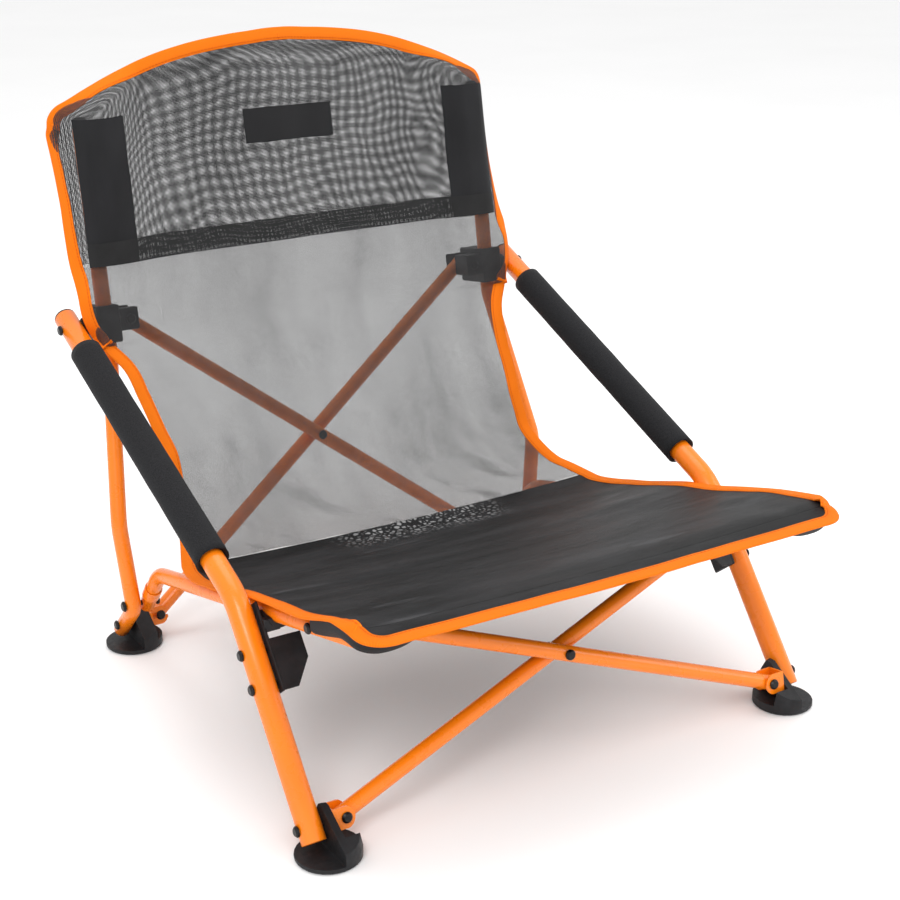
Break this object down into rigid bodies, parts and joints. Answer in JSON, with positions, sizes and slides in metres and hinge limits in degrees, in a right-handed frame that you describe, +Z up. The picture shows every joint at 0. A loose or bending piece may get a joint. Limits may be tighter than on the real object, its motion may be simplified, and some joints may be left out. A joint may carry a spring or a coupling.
{
  "type": "folding camp chair",
  "caption": "Low folding camp chair: orange scissor-folding tube frame, black mesh and fabric sling, foam armrests and round feet.",
  "frame": {"origin": "on the floor, under the middle of the chair's overall box", "axes": "+Z up, +X to the right as seen from behind the chair with the sitter facing -Y"},
  "size_m": [0.626, 0.7061, 0.6752],
  "materials": {
    "orange_paint": "glossy powder coat",
    "black_nylon": "moulded, fine grain",
    "black_steel": "black oxide",
    "grey_foam": "closed-cell foam",
    "mesh_fabric": "open woven mesh",
    "seat_fabric": "plain woven polyester",
    "orange_binding": "folded edge tape"
  },
  "bodies": {
    "left_upright": {"back_panel": "mesh_fabric", "headrest_pocket": "mesh_fabric", "left_rail_pivot_bolt": "black_steel", "left_rear_clevis": "orange_paint", "left_rear_clevis_bolt": "black_steel", "left_rear_foot": "black_nylon", "left_rear_foot_bolt": "black_steel", "left_upright_cap": "black_nylon", "left_upright_tube": "orange_paint"},
    "right_upright": {"right_rail_pivot_bolt": "black_steel", "right_rear_clevis": "orange_paint", "right_rear_clevis_bolt": "black_steel", "right_rear_foot": "black_nylon", "right_rear_foot_bolt": "black_steel", "right_upright_cap": "black_nylon", "right_upright_tube": "orange_paint"},
    "rear_bar_a": {"rear_bar_a": "orange_paint", "rear_centre_bolt": "black_steel"},
    "rear_bar_b": {"rear_bar_b": "orange_paint"},
    "left_hub": {"left_arm_pivot_bolt": "black_steel", "left_hub": "black_nylon", "left_hub_bolt": "black_steel"},
    "right_hub": {"right_arm_pivot_bolt": "black_steel", "right_hub": "black_nylon", "right_hub_bolt": "black_steel"},
    "left_arm": {"left_arm_cap": "black_nylon", "left_arm_grip": "grey_foam", "left_arm_tube": "orange_paint", "left_front_foot_bolt": "black_steel", "left_saddle": "black_nylon", "left_saddle_bolt_1": "black_steel", "left_saddle_bolt_2": "black_steel"},
    "right_arm": {"right_arm_cap": "black_nylon", "right_arm_grip": "grey_foam", "right_arm_tube": "orange_paint", "right_front_foot_bolt": "black_steel", "right_saddle": "black_nylon", "right_saddle_bolt_1": "black_steel", "right_saddle_bolt_2": "black_steel"},
    "left_front_foot": {"left_front_foot": "black_nylon"},
    "right_front_foot": {"right_front_foot": "black_nylon"},
    "left_front_fork": {"left_front_clevis": "orange_paint", "left_front_clevis_bolt": "black_steel"},
    "right_front_fork": {"right_front_clevis": "orange_paint", "right_front_clevis_bolt": "black_steel"},
    "left_rail": {"left_bar_bracket_bolt": "black_steel", "left_rail_sleeve": "orange_paint", "left_seat_rail": "orange_paint", "seat_panel": "seat_fabric"},
    "right_rail": {"right_bar_bracket_bolt": "black_steel", "right_rail_sleeve": "orange_paint", "right_seat_rail": "orange_paint"},
    "left_bracket": {"left_bar_bracket": "orange_paint", "left_bar_bracket_pin": "black_steel"},
    "right_bracket": {"right_bar_bracket": "orange_paint", "right_bar_bracket_pin": "black_steel"},
    "front_bar_a": {"front_bar_a": "orange_paint", "front_centre_nut": "black_steel"},
    "front_bar_b": {"front_bar_b": "orange_paint", "front_centre_bolt": "black_steel"}
  },
  "joints": [
    {"name": "fold", "type": "hinge", "parent": "left_upright", "child": "rear_bar_a", "pos_m": [-0.228, 0.24491, 0.02549], "axis": [0, -0.9859, 0.1676], "range_deg": [0, 36], "deforming": ["back_panel", "headrest_pocket", "seat_panel"]},
    {"name": "rear_bar_b_turn", "type": "hinge", "parent": "rear_bar_a", "child": "rear_bar_b", "pos_m": [0, 0.27449, 0.19949], "axis": [0, -0.9859, 0.1676], "range_deg": [-72.16, 0]},
    {"name": "right_upright_turn", "type": "hinge", "parent": "rear_bar_b", "child": "right_upright", "pos_m": [0.228, 0.22717, 0.02851], "axis": [0, -0.9859, 0.1676], "range_deg": [0, 36.09]},
    {"name": "right_hub_turn", "type": "hinge", "parent": "rear_bar_a", "child": "right_hub", "pos_m": [0.228, 0.30407, 0.37349], "axis": [0, -0.9859, 0.1676], "range_deg": [-36.09, 0]},
    {"name": "left_hub_turn", "type": "hinge", "parent": "rear_bar_b", "child": "left_hub", "pos_m": [-0.228, 0.28633, 0.37651], "axis": [0, -0.9859, 0.1676], "range_deg": [0, 36.09]},
    {"name": "left_arm_turn", "type": "hinge", "parent": "left_hub", "child": "left_arm", "pos_m": [-0.292, 0.2812, 0.3738], "axis": [1, 0, 0], "range_deg": [0, 25.28]},
    {"name": "left_front_foot_turn", "type": "hinge", "parent": "left_arm", "child": "left_front_foot", "pos_m": [-0.292, -0.2609, 0.026], "axis": [1, 0, 0], "range_deg": [-25.28, 0]},
    {"name": "left_front_fork_turn", "type": "hinge", "parent": "left_arm", "child": "left_front_fork", "pos_m": [-0.271, -0.2609, 0.026], "axis": [1, 0, 0], "range_deg": [-26.22, 0]},
    {"name": "left_rail_turn", "type": "hinge", "parent": "left_upright", "child": "left_rail", "pos_m": [-0.2535, 0.2042, 0.0635], "axis": [1, 0, 0], "range_deg": [-53.88, 0]},
    {"name": "left_bracket_turn", "type": "hinge", "parent": "left_rail", "child": "left_bracket", "pos_m": [-0.26219, -0.2308, 0.2135], "axis": [1, 0, 0], "range_deg": [0, 52.94]},
    {"name": "right_arm_turn", "type": "hinge", "parent": "right_hub", "child": "right_arm", "pos_m": [0.292, 0.2812, 0.3738], "axis": [1, 0, 0], "range_deg": [0, 25.28]},
    {"name": "right_front_foot_turn", "type": "hinge", "parent": "right_arm", "child": "right_front_foot", "pos_m": [0.292, -0.2609, 0.026], "axis": [1, 0, 0], "range_deg": [-25.28, 0]},
    {"name": "right_front_fork_turn", "type": "hinge", "parent": "right_arm", "child": "right_front_fork", "pos_m": [0.271, -0.2609, 0.026], "axis": [1, 0, 0], "range_deg": [-26.22, 0]},
    {"name": "right_rail_turn", "type": "hinge", "parent": "right_upright", "child": "right_rail", "pos_m": [0.2535, 0.2042, 0.0635], "axis": [1, 0, 0], "range_deg": [-53.88, 0]},
    {"name": "right_bracket_turn", "type": "hinge", "parent": "right_rail", "child": "right_bracket", "pos_m": [0.26219, -0.2308, 0.2135], "axis": [1, 0, 0], "range_deg": [0, 52.94]},
    {"name": "front_bar_a_turn", "type": "hinge", "parent": "left_front_fork", "child": "front_bar_a", "pos_m": [-0.2565, -0.25746, 0.02729], "axis": [0, -0.9817, 0.1904], "range_deg": [0, 47.42]},
    {"name": "front_bar_b_turn", "type": "hinge", "parent": "right_front_fork", "child": "front_bar_b", "pos_m": [0.2565, -0.27514, 0.03071], "axis": [0, -0.9817, 0.1904], "range_deg": [-47.42, 0]}
  ],
  "couplings": [
    {"joint": "rear_bar_b_turn", "follows": "fold", "ratio": -2},
    {"joint": "right_upright_turn", "follows": "fold", "ratio": 1},
    {"joint": "right_hub_turn", "follows": "fold", "ratio": -1},
    {"joint": "left_hub_turn", "follows": "fold", "ratio": 1},
    {"joint": "left_arm_turn", "follows": "fold", "ratio": 0.70029},
    {"joint": "left_front_foot_turn", "follows": "fold", "ratio": -0.70029},
    {"joint": "left_front_fork_turn", "follows": "fold", "ratio": -0.72635},
    {"joint": "left_rail_turn", "follows": "fold", "ratio": -1.493},
    {"joint": "left_bracket_turn", "follows": "fold", "ratio": 1.467},
    {"joint": "right_arm_turn", "follows": "fold", "ratio": 0.70029},
    {"joint": "right_front_foot_turn", "follows": "fold", "ratio": -0.70029},
    {"joint": "right_front_fork_turn", "follows": "fold", "ratio": -0.72635},
    {"joint": "right_rail_turn", "follows": "fold", "ratio": -1.493},
    {"joint": "right_bracket_turn", "follows": "fold", "ratio": 1.467},
    {"joint": "front_bar_a_turn", "follows": "fold", "ratio": 1.314},
    {"joint": "front_bar_b_turn", "follows": "fold", "ratio": -1.314}
  ]
}
